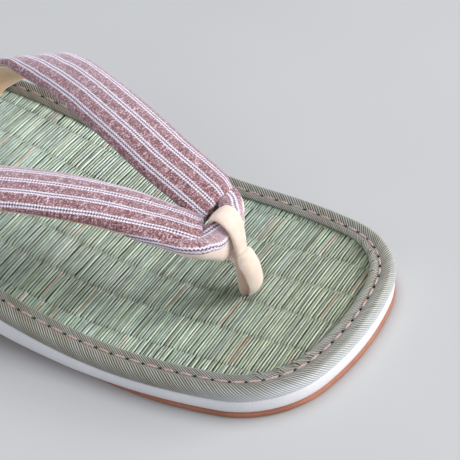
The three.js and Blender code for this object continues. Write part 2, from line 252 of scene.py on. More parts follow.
# Neck that leaves each fold and passes under the thong, from the centre plane into the strap.
# drop is the depth of the lining under it.
NECK_COLUMNS = "back out up width crown belly roll mitre drop"
NECK = {
    "left": table(
        NECK_COLUMNS,
        (6.4, -1.5, 23.8, 6.2, 2.5, 2.0, -34, 0, 11.0),
        (5.8, 3.6, 24.2, 6.2, 2.7, 2.0, -36, 0, 10.5),
        (8.6, 7.6, 25.0, 9.0, 2.6, 2.0, -32, 0, 8.0),
        (11.4, 11.2, 25.4, 9.0, 2.4, 2.0, -22, 0, 5.2),
        (14.8, 13.4, 25.8, 9.2, 2.2, 2.0, 0, 0, 3.6),
        (20.0, 14.4, 27.0, 8.6, 1.6, 1.6, 6, 0, 2.4),
        (27.0, 15.0, 28.4, 8.0, 0.8, 1.0, 5, 0, 1.2),
    ),
    "right": table(
        NECK_COLUMNS,
        (6.4, -1.5, 23.8, 6.4, 2.5, 2.0, -34, 0, 11.0),
        (7.2, 3.2, 24.0, 9.2, 2.5, 2.0, -24, 0, 11.0),
        (7.9, 7.2, 23.8, 10.8, 2.3, 2.0, -10, 0, 8.6),
        (9.0, 11.0, 24.0, 11.0, 2.2, 2.0, 8, 0, 5.2),
        (11.8, 14.4, 25.2, 9.2, 2.2, 1.8, 8, 0, 3.4),
        (17.0, 16.9, 26.8, 6.4, 2.1, 1.6, 2, 0, 2.4),
        (24.0, 19.6, 28.4, 5.2, 1.6, 1.0, 4, 0, 1.4),
        (30.0, 21.2, 29.6, 3.6, 0.6, 0.8, 3, 0, 0.9),
    ),
}
SIDES = {"left": 1, "right": -1}
STRAP_SIDES = 32
STRAP_STEPS = 110
NECK_STEPS = 22
HALF_CLOTH = 12.6
TRIM_CURVE = 1.5
ROUND_ACROSS = 0.8
ROUND_UP = 0.88

# Cloth of each side: how far out a stripe lies from the strap's middle, by distance behind the thong,
# and the span of the cloth that the neck takes. The neck's outer cloth has painted sheen, paler, less so
# along it.
STRIPE_COLUMNS = "back shift"
STRIPE_RUN = {
    "left": table(STRIPE_COLUMNS, (6, 2.2), (20, 2.5), (120, 2.5)),
    "right": table(STRIPE_COLUMNS, (6, 0.2), (20, 0.75), (37, 3.1), (70, 5.25), (95, 5.8)),
}
NECK_CLOTH = {"left": (4.0, 12.2), "right": (2.0, 12.5)}
NECK_SHEEN_FROM = 6.2
NECK_SHEEN_ALONG = (5.0, 15.0)

# Rounded lip of a fold and the hollow behind it: share of the strap's length, then shares of its
# width, crown and belly, and how far the ring is set back. The plain band follows.
FOLD_RINGS = table(
    "share width crown belly back",
    (0.0, 0.6, 0.3, 0.2, 3.4),
    (0.0, 0.88, 0.52, 0.6, 1.6),
    (0.0, 0.93, 0.66, 0.8, 0.0),
    (0.003, 0.965, 0.84, 0.92, 0.0),
    (0.008, 0.985, 0.95, 1.0, 0.0),
    (0.014, 1.0, 0.99, 1.0, 0.0),
)
BAND_FROM = 0.022

# Lining under a strap: shares of the strap's length, width and belly, then its own section.
LINING_FROM = 0.015
LINING_LENGTH = 0.93
LINING_WIDTH = 0.92
LINING_DEPTH = 0.75
LINING_CROWN = 0.4
LINING_THICKNESS = 1.2
LINING_STEPS = 60
LINING_SIDES = 20
NECK_LINING_WIDTH = 0.93
NECK_LINING_CROWN = 0.6

# Thong over the strap joint, in the centre plane, and its stem.
THONG_LOOP = table(
    "back out up width thickness",
    (0.6, -0.3, 11.5, 5.0, 2.4),
    (1.1, -0.3, 16.5, 5.6, 2.4),
    (1.4, -0.2, 21.0, 6.6, 2.4),
    (2.3, 0.0, 25.4, 7.8, 2.2),
    (4.8, 0.2, 28.6, 8.8, 2.2),
    (7.4, 0.4, 29.3, 8.8, 2.2),
    (9.8, 0.4, 27.8, 8.4, 2.2),
    (10.8, 0.2, 24.4, 8.0, 2.2),
    (9.6, 0.0, 20.2, 7.4, 2.4),
    (6.2, 0.0, 15.6, 6.6, 2.4),
    (2.0, 0.0, 11.5, 5.4, 2.4),
)
THONG_STEM = table(
    "back out up deep wide lap",
    (0.9, 0.0, 16.6, 2.2, 3.0, 176),
    (0.7, 0.0, 15.8, 5.0, 6.4, 178),
    (0.4, 0.0, 13.0, 6.8, 8.4, 186),
    (-0.2, 0.1, 9.4, 7.8, 9.4, 200),
    (-0.3, 0.3, 5.0, 8.2, 9.8, 211),
    (0.3, 0.5, 2.6, 7.4, 9.4, 215),
    (0.8, 0.6, 1.0, 6.2, 8.4, 217),
    (0.8, 0.6, -1.6, 5.4, 7.4, 218),
    (0.4, 0.6, -6.6, 4.6, 6.0, 218),
)
LOOP_STEPS = 90
LOOP_SIDES = 24
STEM_STEPS = 40
STEM_SIDES = 64
STEM_LAP = 0.9
STEM_GROOVE = 0.3
STEM_GROOVE_REACH = 0.02

# Rush and mat colours. Reaches along the sandal are in metres from its middle.
RUSH_TONES = [
    (0.0, (0.12, 0.12, 0.06)),
    (0.14, (0.20, 0.22, 0.13)),
    (0.3, (0.28, 0.34, 0.25)),
    (0.46, (0.33, 0.42, 0.36)),
    (0.6, (0.38, 0.49, 0.36)),
    (0.74, (0.48, 0.56, 0.45)),
    (0.86, (0.45, 0.55, 0.56)),
    (0.93, (0.62, 0.63, 0.52)),
    (1.0, (0.46, 0.38, 0.29)),
]
RUSH_FIBRES = (5200, 260, 900)
RUSH_BLOTCHES = (260, 90, 90)
# Painted shade: the rushes are tinted darker towards the toe, with some of their own olive colour.
TOE_PAINTED_SHADE = (0.78, 0.71, 0.60)
# Painted sky reflection: the rushes are tinted paler and bluer towards the heel.
BACK_PAINTED_REFLECTION = (1.16, 1.18, 1.26)
TOE_SHADE_REACH = (0.06, 0.12)
BACK_REFLECTION_REACH = (0.02, -0.05)
# Painted shade: the core under the rushes is near black, standing for the shade in the gaps between them.
CORE_SHADE_TONES = [(0.3, (0.030, 0.034, 0.014)), (0.7, (0.075, 0.08, 0.035))]
CORE_GRAIN = (900, 200, 300)

# Tape colours, and the part of the toe where its outer roll gets a painted highlight
TAPE_GLOSS = {"Sheen_Weight": 0.35, "Sheen_Roughness": 0.4, "Coat_Weight": 0.35, "Coat_Roughness": 0.32}
# Painted shade in the rib grooves and painted highlight on the rib crests: the ribs' colour goes from dark
# to light with their phase.
RIB_SHADE_AND_HIGHLIGHT_TONES = [
    (0.05, (0.042, 0.038, 0.025)),
    (0.35, (0.138, 0.130, 0.092)),
    (0.7, (0.31, 0.31, 0.27)),
    (1.0, (0.46, 0.47, 0.45)),
]
RIB_TINTS = [(0.0, (0.82, 0.78, 0.66)), (0.5, (1.0, 0.98, 0.9)), (1.0, (1.1, 1.1, 1.12))]
TAPE_THREADS = (3.0, 5.0, 1.0)
TAPE_THREAD_BUMP = 0.5
# Painted highlight on the tape's outer roll at the toe: where, how much, and its colour.
HIGHLIGHT_TOE_REACH = (0.085, 0.118)
HIGHLIGHT_ACROSS = (3.5, 7.5)
HIGHLIGHT_SHARE = 0.7
TAPE_PAINTED_HIGHLIGHT = (0.66, 0.70, 0.74)
THREAD_TONES = [(0.3, (0.36, 0.21, 0.19)), (0.7, (0.66, 0.50, 0.48))]
# Painted shade: the needle holes are near-black blobs standing for the shade in them.
HOLE_SHADE_TONES = [(0.3, (0.006, 0.005, 0.006)), (0.7, (0.016, 0.012, 0.014))]

# Sole colours
FOAM_TONES = [(0.3, (0.74, 0.74, 0.77)), (0.7, (0.82, 0.82, 0.84))]
RUBBER_TONES = [(0.3, (0.34, 0.125, 0.07)), (0.7, (0.45, 0.185, 0.11))]

# Striped cotton: its stripes and threads, what each adds to the red's tone, and its colours
STRIPE_PITCH = 5.8
WHITE_REACH = 0.9
DARK_REACH = 0.33
STRIPE_SAW = 0.3
DASH_PITCH = 0.9
DASH_SHARE = 0.6
THREAD_ACROSS = 0.4
THREAD_ALONG = 0.5
STREAK_ACROSS = 3.4
STREAK_ALONG = 0.44
PATCH_SCALE = (0.25, 0.4, 1.0)
THREAD_TONE = 0.5
STREAK_TONE = 1.05
PATCH_TONE = 0.3
BASE_TONE = -0.47
PINK_SHARE = 0.5
STREAK_BUMP = 0.7
THREAD_BUMP = 0.3
RED_TONES = [
    (0.12, (0.085, 0.022, 0.024)),
    (0.36, (0.21, 0.076, 0.074)),
    (0.56, (0.34, 0.168, 0.18)),
    (0.74, (0.57, 0.42, 0.47)),
    (0.9, (0.80, 0.70, 0.78)),
]
STRIPE_WHITE = (0.93, 0.87, 0.95)
STRIPE_PINK = (0.46, 0.31, 0.36)
STRIPE_NAVY = (0.040, 0.026, 0.062)
STRIPE_GREY = (0.30, 0.24, 0.32)
# Painted sheen on the neck's outer cloth: the colours it takes and how much.
STRIPE_PAINTED_SHEEN = (0.68, 0.54, 0.60)
DARK_LINE_PAINTED_SHEEN = (0.30, 0.24, 0.38)
PAINTED_SHEEN_SHARE = 0.56
LAVENDER_NAP = (0.86, 0.84, 1.0, 1.0)

# Plain cloths, and the painted shade beside the stem's lap
CLOTH_ROUGHNESS = 0.85
CLOTH_CLOUDS = 140.0
LINING_TONES = [(0.3, (0.86, 0.55, 0.34)), (0.7, (0.94, 0.68, 0.47))]
NECK_LINING_TONES = [(0.3, (0.80, 0.63, 0.55)), (0.7, (0.88, 0.75, 0.68))]
THONG_TONES = [(0.3, (0.74, 0.58, 0.48)), (0.7, (0.83, 0.69, 0.60))]
LAP_PAINTED_SHADE = (0.60, 0.36, 0.24)
LAP_SHADE_REACH = (0.76, 0.94)
LAP_SHADE_SHARE = 0.8
WARM_DEPTH = {"Subsurface_Weight": 0.35, "Subsurface_Radius": (1.0, 0.4, 0.2), "Subsurface_Scale": 0.003}

# Floor and lights, in metres and watts
FLOOR_REACH = 4.0
FLOOR_TONES = [(0.3, (0.52, 0.52, 0.52)), (0.7, (0.55, 0.55, 0.55))]
SKY_COLOUR = (0.86, 0.9, 1.0, 1.0)
SKY_STRENGTH = 0.46
LIGHTS = table(
    "name place target size power colour",
    ("key", (1.45, 0.8, 0.52), (0.03, 0.0, 0.02), (1.5, 0.5), 32.0, (1.0, 0.98, 0.95)),
    ("fill", (0.25, -1.0, 0.9), (0.03, 0.0, 0.02), (0.9, 0.6), 2.9, (1.0, 0.99, 0.98)),
    ("top", (0.0, 0.15, 1.1), (0.04, 0.0, 0.0), (0.7, 0.7), 5.0, (0.95, 0.98, 1.0)),
)

# Camera: where it stands from the foot of the thong, and the way it looks
CAMERA_PLACE = Vector((236.01, -318.79, 320.29))
CAMERA_AZIMUTH = math.radians(37.06)
CAMERA_ELEVATION = math.radians(36.60)
CAMERA_ROLL = math.radians(8.07)
CAMERA_LENS = 119.84
SENSOR_WIDTH = 36.0
CAMERA_CLIP = (0.01, 20.0)

UP = Vector((0, 0, 1))
SIDEWAYS = Vector((0, 1, 0))
SHARE_STEP = 0.004

# Sockets of a colour mix node: its factor, both colours and the result
MIX_FACTOR, MIX_FIRST, MIX_SECOND, MIX_RESULT = 0, 6, 7, 2


def eased(rows, key, name, at):
    """Smooth value of a column at a place along the key column, with no overshoot between rows."""
    last = len(rows) - 1
    if at <= rows[0][key]:
        return rows[0][name]
    if at >= rows[last][key]:
        return rows[last][name]

    def step(i):
        return (rows[i + 1][name] - rows[i][name]) / (rows[i + 1][key] - rows[i][key])

    def slope(i):
        if i in (0, last):
            return step(min(i, last - 1))
        before, after = step(i - 1), step(i)
        return 2 * before * after / (before + after) if before * after > 0 else 0

    i = next(k for k in range(last) if at < rows[k + 1][key])
    span = rows[i + 1][key] - rows[i][key]
    t = (at - rows[i][key]) / span
    stay = (2 * t**3 - 3 * t**2 + 1) * rows[i][name] + (3 * t**2 - 2 * t**3) * rows[i + 1][name]
    turn = (t**3 - 2 * t**2 + t) * slope(i) + (t**3 - t**2) * slope(i + 1)
    return stay + span * turn


def profile(name, x):
    return eased(PROFILE, "back", name, THONG_X - x)


def mat_top(x):
    return FOREFOOT_HEIGHT + profile("rise", x)


def heading(angle):
    return Vector((math.cos(angle), math.sin(angle), 0))


def outline_arcs():
    """Arcs of the half outline, each with its start, end, centre, radius and first direction."""
    arcs, edge, facing, start = [], Vector((TOE_X, 0, 0)), 0.0, 0.0
    for row in OUTLINE:
        radius = row["radius"] or edge.y / math.sin(facing)
        turn = math.radians(row["turn"])
        centre = edge - radius * heading(facing)
        end = start + radius * turn
        arcs.append({"start": start, "end": end, "centre": centre, "radius": radius, "facing": facing})
        facing += turn
        edge = centre + radius * heading(facing)
        start = end
    return arcs


ARCS = outline_arcs()
HALF_WAY = ARCS[-1]["end"]


def outline_at(way):
    """Point and outward direction on the outline, from the toe tip round by the wearer's left."""
    way %= 2 * HALF_WAY
    side = 1 if way <= HALF_WAY else -1
    along = way if side > 0 else 2 * HALF_WAY - way
    arc = next((a for a in ARCS if along <= a["end"]), ARCS[-1])
    outward = heading(arc["facing"] + (along - arc["start"]) / arc["radius"])
    point = arc["centre"] + arc["radius"] * outward
    return Vector((point.x, side * point.y, 0)), Vector((outward.x, side * outward.y, 0))


# Mesh helpers


def extruded_ring(bm, edges):
    """The ring of edges and vertices that an extrusion of the edges makes."""
    made = bmesh.ops.extrude_edge_only(bm, edges=edges)["geom"]
    verts = [g for g in made if isinstance(g, bmesh.types.BMVert)]
    fresh = set(verts)
    ring = [g for g in made if isinstance(g, bmesh.types.BMEdge) and fresh.issuperset(g.verts)]
    return verts, ring


def ringed(count, rings, place):
    """Skin of rings extruded one from the other. place(station, ring) is where a vertex goes."""
    bm = bmesh.new()
    station = bm.verts.layers.int.new("station")
    row = bm.verts.layers.int.new("row")
    verts = bmesh.ops.create_circle(bm, segments=count, radius=1.0)["verts"]
    for index, vert in enumerate(verts):
        vert[station] = index
    edges = bm.edges[:]
    loops = []
    for k in range(rings):
        if k:
            verts, edges = extruded_ring(bm, edges)
        for vert in verts:
            vert[row] = k
            vert.co = place(vert[station], k)
        loops.append(edges)
    return bm, loops


def strip_cap(bm, edges, count):
    """Closes a ring by strips from its left side to its right side."""
    station = bm.verts.layers.int["station"]
    half = count // 2
    tips = {0, half}
    rails = [e for e in edges if not tips & {v[station] for v in e.verts}]
    bmesh.ops.bridge_loops(bm, edges=rails)
    ring = set(edges)
    bmesh.ops.holes_fill(bm, edges=[e for e in bm.edges if e.is_boundary and e in ring], sides=4)


def write_uv(bm, count, uv_of):
    """UV map from uv_of(station, row), with its seam at station 0."""
    station, row = bm.verts.layers.int["station"], bm.verts.layers.int["row"]
    layer = bm.loops.layers.uv.new("cloth")
    for face in bm.faces:
        stations = {v[station] for v in face.verts}
        wraps = count - 1 in stations and 0 in stations
        for loop in face.loops:
            place = loop.vert[station]
            loop[layer].uv = uv_of(count if wraps and place == 0 else place, loop.vert[row])


def mesh_of(name, bm):
    mesh = bpy.data.meshes.new(name)
    bm.to_mesh(mesh)
    bm.free()
    return mesh


def piece(name, bm, material):
    """Object of a finished bmesh that is drawn in millimetres."""
    bmesh.ops.scale(bm, vec=(MM, MM, MM), verts=bm.verts)
    bmesh.ops.recalc_face_normals(bm, faces=bm.faces)
    return dress(name, mesh_of(name, bm), material)


def dress(name, mesh, material):
    """Object of a mesh with its material and slot, riding on the sandal."""
    mesh.materials.append(material)
    mesh.polygons.foreach_set("use_smooth", [True] * len(mesh.polygons))
    obj = bpy.data.objects.new(name, mesh)
    bpy.context.scene.collection.objects.link(obj)
    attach(obj, "root")
    return obj


# Material helpers


def new_material(name, roughness, **sockets):
    """Material and its node tree, with the shader's constant sockets set."""
    mat = bpy.data.materials.new(name)
    mat.use_nodes = True
    shader = mat.node_tree.nodes["Principled BSDF"]
    shader.inputs["Roughness"].default_value = roughness
    for socket, value in sockets.items():
        shader.inputs[socket.replace("_", " ")].default_value = value
    return mat, mat.node_tree


def node(tree, kind, inputs=(), **settings):
    """A node with its settings, and its inputs given as values or as the sockets they follow."""
    made = tree.nodes.new(kind)
    for name, value in settings.items():
        setattr(made, name, value)
    for socket, value in dict(inputs).items():
        if isinstance(value, bpy.types.NodeSocket):
            tree.links.new(value, made.inputs[socket])
        else:
            made.inputs[socket].default_value = value
    return made


def math_node(tree, operation, first, second=0.0, third=0.0):
    inputs = {0: first, 1: second, 2: third}
    return node(tree, "ShaderNodeMath", inputs, operation=operation).outputs[0]


def ramp(tree, factor, stops):
    """Colour ramp with (place, colour) stops."""
    made = node(tree, "ShaderNodeValToRGB", {0: factor})
    elements = made.color_ramp.elements
    while len(elements) < len(stops):
        elements.new(0.5)
    for element, (place, colour) in zip(elements, stops):
        element.position = place
        element.color = (*colour, 1.0)
    return made.outputs["Color"]


def mix(tree, factor, first, second, blend="MIX"):
    made = node(tree, "ShaderNodeMix", data_type="RGBA", blend_type=blend)
    for index, value in ((MIX_FACTOR, factor), (MIX_FIRST, first), (MIX_SECOND, second)):
        if isinstance(value, bpy.types.NodeSocket):
            tree.links.new(value, made.inputs[index])
        else:
            made.inputs[index].default_value = value if index == MIX_FACTOR else (*value, 1.0)
    return made.outputs[MIX_RESULT]


def noise(tree, vector, scale, detail=2.0, roughness=0.5):
    inputs = {"Vector": vector, "Scale": scale, "Detail": detail, "Roughness": roughness}
    return node(tree, "ShaderNodeTexNoise", inputs).outputs["Fac"]


def stretched(tree, vector, scale):
    return node(tree, "ShaderNodeMapping", {"Vector": vector, "Scale": scale}).outputs["Vector"]


def object_place(tree):
    return node(tree, "ShaderNodeTexCoord").outputs["Object"]


def cloth_place(tree):
    """UV of a cloth, and its two values."""
    uv = node(tree, "ShaderNodeUVMap", uv_map="cloth").outputs["UV"]
    parts = node(tree, "ShaderNodeSeparateXYZ", {0: uv})
    return uv, parts.outputs["X"], parts.outputs["Y"]


def finish_material(tree, colour, height=None, strength=0.3, distance=0.0003):
    """Links the colour and a bump height to the shader."""
    shader = tree.nodes["Principled BSDF"]
    tree.links.new(colour, shader.inputs["Base Color"])
    if height is not None:
        bump = node(tree, "ShaderNodeBump", {"Height": height, "Strength": strength, "Distance": distance})
        tree.links.new(bump.outputs["Normal"], shader.inputs["Normal"])


# Materials


def share_between(tree, value, reach):
    """Share that goes from 0 to 1 as a value goes from one end of a reach to the other."""
    return node(tree, "ShaderNodeMapRange", {0: value, 1: reach[0], 2: reach[1]}).outputs[0]


def toe_share(tree, reach):
    """Share that goes from 0 to 1 between two places along the sandal, in metres."""
    along = node(tree, "ShaderNodeSeparateXYZ", {0: object_place(tree)}).outputs["X"]
    return share_between(tree, along, reach)


def tinted(tree, colour, factor, stops):
    """Colour multiplied by the tint that a factor picks from (place, tint) stops."""
    return mix(tree, 1.0, colour, ramp(tree, factor, stops), "MULTIPLY")


def shaded(tree, colour, factor, low, high):
    """Colour multiplied by the grey that a factor picks between two (place, grey) stops."""
    return tinted(tree, colour, factor, [(place, (grey,) * 3) for place, grey in (low, high)])


def rush_material():
    mat, tree = new_material("rush", 0.27, Specular_IOR_Level=0.7)
    tone = node(tree, "ShaderNodeAttribute", attribute_name="tone").outputs["Fac"]
    place = object_place(tree)
    fibres = noise(tree, stretched(tree, place, RUSH_FIBRES), 1.0, detail=3.0)
    blotch = noise(tree, stretched(tree, place, RUSH_BLOTCHES), 1.0)
    colour = shaded(tree, ramp(tree, tone, RUSH_TONES), fibres, (0.25, 0.62), (0.75, 1.25))
    colour = shaded(tree, colour, blotch, (0.3, 0.82), (0.7, 1.12))
    # Painted shade towards the toe, and painted sky reflection towards the heel.
    for reach, tint in ((TOE_SHADE_REACH, TOE_PAINTED_SHADE), (BACK_REFLECTION_REACH, BACK_PAINTED_REFLECTION)):
        colour = tinted(tree, colour, toe_share(tree, reach), [(0.0, (1.0, 1.0, 1.0)), (1.0, tint)])
    finish_material(tree, colour, fibres, strength=0.35, distance=0.0002)
    return mat


def core_shade_material():
    # Near-black painted shade, seen in the gaps between the rushes.
    mat, tree = new_material("mat_core_painted_shade", 0.8)
    grain = noise(tree, stretched(tree, object_place(tree), CORE_GRAIN), 1.0, detail=3.0)
    finish_material(tree, ramp(tree, grain, CORE_SHADE_TONES), grain)
    return mat


def tape_material():
    mat, tree = new_material("tape", 0.38, **TAPE_GLOSS)
    uv, along, across = cloth_place(tree)
    phase = math_node(tree, "MULTIPLY", along, 2 * math.pi / RIB_PITCH)
    ridge = math_node(tree, "MULTIPLY_ADD", math_node(tree, "COSINE", phase), 0.5, 0.5)
    rib = math_node(tree, "FLOOR", math_node(tree, "ADD", math_node(tree, "DIVIDE", along, RIB_PITCH), 0.5))
    shade = node(tree, "ShaderNodeTexWhiteNoise", {"W": rib}, noise_dimensions="1D").outputs["Value"]
    threads = noise(tree, stretched(tree, uv, TAPE_THREADS), 1.0)
    # Painted shade in the grooves and painted highlight on the crests of the ribs.
    colour = tinted(tree, ramp(tree, ridge, RIB_SHADE_AND_HIGHLIGHT_TONES), shade, RIB_TINTS)
    colour = shaded(tree, colour, threads, (0.3, 0.8), (0.7, 1.15))
    # Painted highlight: the tape's outer roll is made lighter and bluer at the toe.
    outer = share_between(tree, across, HIGHLIGHT_ACROSS)
    painted_highlight = math_node(tree, "MULTIPLY", toe_share(tree, HIGHLIGHT_TOE_REACH), outer)
    colour = mix(tree, math_node(tree, "MULTIPLY", painted_highlight, HIGHLIGHT_SHARE), colour, TAPE_PAINTED_HIGHLIGHT)
    height = math_node(tree, "MULTIPLY_ADD", threads, TAPE_THREAD_BUMP, ridge)
    finish_material(tree, colour, height, strength=0.4, distance=0.0002)
    return mat


def moulded(tree, tones, clouds, specks, low, high, **bump):
    """Finishes smooth moulded stuff with faint clouds and fine specks."""
    place = object_place(tree)
    cloud = noise(tree, place, clouds, detail=4.0)
    speck = noise(tree, place, specks)
    finish_material(tree, shaded(tree, ramp(tree, cloud, tones), speck, low, high), speck, **bump)


def foam_material():
    mat, tree = new_material("foam", 0.48, Specular_IOR_Level=0.4)
    moulded(tree, FOAM_TONES, 60.0, 1800.0, (0.3, 0.95), (0.6, 1.02), strength=0.08, distance=0.0001)
    return mat


def outsole_material():
    mat, tree = new_material("brown_rubber", 0.62)
    moulded(tree, RUBBER_TONES, 90.0, 2600.0, (0.3, 0.8), (0.7, 1.15), strength=0.3, distance=0.0002)
    return mat


def stripe_material(name, drawn=False):
    """Striped cotton: red-brown bands, and between them white lines with a dashed dark one.

    Where the cloth is drawn into a neck, its outer part gets painted sheen: paler and more lavender."""
    mat, tree = new_material(name, 0.8, Sheen_Weight=0.75, Sheen_Roughness=0.5, Sheen_Tint=LAVENDER_NAP)

    def calc(operation, *values):
        return math_node(tree, operation, *values)

    uv, across, along = cloth_place(tree)
    warp = calc("FLOOR", calc("DIVIDE", across, THREAD_ACROSS))
    weft = calc("FLOOR", calc("DIVIDE", along, THREAD_ALONG))
    cell = node(tree, "ShaderNodeCombineXYZ", {0: warp, 1: weft}).outputs[0]
    thread = node(tree, "ShaderNodeTexWhiteNoise", {"Vector": cell}, noise_dimensions="2D").outputs["Value"]
    over = calc("PINGPONG", calc("ADD", warp, weft), 1.0)
    combed = stretched(tree, uv, (1 / STREAK_ACROSS, 1 / STREAK_ALONG, 1.0))
    streak = noise(tree, combed, 1.0, roughness=0.6)
    patch = noise(tree, stretched(tree, uv, PATCH_SCALE), 1.0, detail=1.0)
    tone = calc("MULTIPLY", streak, STREAK_TONE)
    tone = calc("MULTIPLY_ADD", thread, THREAD_TONE, tone)
    tone = calc("ADD", tone, calc("MULTIPLY_ADD", patch, PATCH_TONE, BASE_TONE))
    red = ramp(tree, tone, RED_TONES)
    turns = calc("DIVIDE", across, STRIPE_PITCH)
    nearest = calc("SUBTRACT", turns, calc("ROUND", turns))
    apart = calc("MULTIPLY", calc("ABSOLUTE", nearest), STRIPE_PITCH)
    saw = calc("MULTIPLY_ADD", calc("SUBTRACT", over, 0.5), STRIPE_SAW, apart)
    white_share = calc("LESS_THAN", saw, WHITE_REACH)
    dark_share = calc("LESS_THAN", saw, DARK_REACH)
    white = mix(tree, calc("MULTIPLY", thread, PINK_SHARE), STRIPE_WHITE, STRIPE_PINK)
    dash = calc("PINGPONG", calc("DIVIDE", along, DASH_PITCH / 2), 1.0)
    dark = mix(tree, calc("GREATER_THAN", dash, DASH_SHARE), STRIPE_NAVY, STRIPE_GREY)
    # Painted sheen: the neck's outer cloth is made paler and lavender near the fold, less so along it.
    if drawn:
        near, far = NECK_SHEEN_ALONG
        sheen_reach = calc("DIVIDE", calc("SUBTRACT", far, along), far - near)
        sheen_reach = calc("MINIMUM", calc("MAXIMUM", sheen_reach), 1.0)
        neck_sheen = calc("MULTIPLY", calc("GREATER_THAN", across, NECK_SHEEN_FROM), sheen_reach)
        neck_sheen = calc("MULTIPLY", neck_sheen, PAINTED_SHEEN_SHARE)
        red = mix(tree, neck_sheen, red, STRIPE_PAINTED_SHEEN)
        dark = mix(tree, neck_sheen, dark, DARK_LINE_PAINTED_SHEEN)
    colour = mix(tree, white_share, red, white)
    colour = mix(tree, dark_share, colour, dark)
    threads = calc("MULTIPLY", over, THREAD_BUMP)
    height = calc("ADD", calc("MULTIPLY", streak, STREAK_BUMP), threads)
    finish_material(tree, colour, height, strength=0.4)
    return mat


def plain_cloth(name, tones, sheen, grain, lapped=False):
    """Plain soft cloth with a fine nap. A lapped one has tan painted shade beside its lap, where its UV
    nears 1.
    """
    depth = WARM_DEPTH if lapped else {}
    mat, tree = new_material(name, CLOTH_ROUGHNESS, Sheen_Weight=sheen, Sheen_Roughness=0.5, **depth)
    place = object_place(tree)
    nap = noise(tree, place, grain, detail=3.0, roughness=0.6)
    cloud = noise(tree, place, CLOTH_CLOUDS, detail=3.0)
    colour = shaded(tree, ramp(tree, cloud, tones), nap, (0.3, 0.92), (0.7, 1.05))
    if lapped:
        # Painted shade: tan beside the lap, where the stem's side turns under it.
        under = share_between(tree, cloth_place(tree)[1], LAP_SHADE_REACH)
        colour = mix(tree, math_node(tree, "MULTIPLY", under, LAP_SHADE_SHARE), colour, LAP_PAINTED_SHADE)
    finish_material(tree, colour, nap, strength=0.25)
    return mat


def thread_material():
    mat, tree = new_material("stitch_thread", 0.6)
    twist = noise(tree, object_place(tree), 1500.0)
    finish_material(tree, ramp(tree, twist, THREAD_TONES), twist)
    return mat


def hole_shade_material():
    # Near-black painted shade of the needle holes.
    mat, tree = new_material("needle_hole_shade", 0.9)
    depth = noise(tree, object_place(tree), 2000.0)
    finish_material(tree, ramp(tree, depth, HOLE_SHADE_TONES))
    return mat


# Sole


def sole_layer(name, rows, inset_of, up_of, material):
    """Closed layer of the sole: rings from the bottom to the top, then both caps."""

    def place(station, k):
        point, outward = outline_at(2 * HALF_WAY * station / SOLE_STATIONS)
        spot = point - inset_of(rows[k], point.x) * outward
        return Vector((spot.x, spot.y, up_of(rows[k], spot.x)))

    bm, loops = ringed(SOLE_STATIONS, len(rows), place)
    strip_cap(bm, loops[0], SOLE_STATIONS)
    strip_cap(bm, loops[-1], SOLE_STATIONS)
    return piece(name, bm, material)


def make_sole():
    outsole = sole_layer(
        "outsole_sheet",
        OUTSOLE_EDGE,
        lambda row, x: row["inset"] + profile("tuck", x),
        lambda row, x: profile("lift", x) + row["up"],
        outsole_material(),
    )
    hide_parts("outsole")

    def midsole_up(row, x):
        bottom = profile("lift", x) + OUTSOLE_THICKNESS
        return bottom + row["share"] * (mat_top(x) - MAT_THICKNESS - bottom)

    midsole = sole_layer(
        "midsole_foam",
        MIDSOLE_SIDE,
        lambda row, x: row["inset"],
        midsole_up,
        foam_material(),
    )
    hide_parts("midsole")
    core = sole_layer(
        "mat_core_painted_shade",
        table("drop", (MAT_THICKNESS,), (CORE_DROP,)),
        lambda row, x: MAT_INSET,
        lambda row, x: mat_top(x) - row["drop"],
        core_shade_material(),
    )
    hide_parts("rush_mat")


# Rush mat


def rush_template():
    """One rush between two warps, as (along, across, height) from -1 to 1 and 0 to 1, and its faces."""
    bm = bmesh.new()
    bmesh.ops.create_grid(bm, **RUSH_GRID, size=1.0)
    verts = np.array([v.co[:] for v in bm.verts])
    faces = np.array([[v.index for v in f.verts] for f in bm.faces])
    bm.free()
    verts[:, 2] = np.sqrt(1 - np.minimum(np.abs(verts[:, 1]), 1.0) ** 2)
    return verts, faces


def half_width_of(inset):
    """Function giving the half width of the inset outline at a place along the sandal."""
    ways = np.linspace(0, HALF_WAY, OUTLINE_SAMPLES)
    spots = [(p - inset * o) for p, o in map(outline_at, ways)]
    xs, ys = np.array([(s.x, s.y) for s in spots]).T
    return lambda x: np.interp(x, xs[::-1], ys[::-1], left=-1.0, right=-1.0)


def on_sandal(run, across):
    """Places along and across the sandal of points on the turned weave."""
    x = THONG_X + run * math.cos(BAND_TURN) - across * math.sin(BAND_TURN)
    y = run * math.sin(BAND_TURN) + across * math.cos(BAND_TURN)
    return x, y


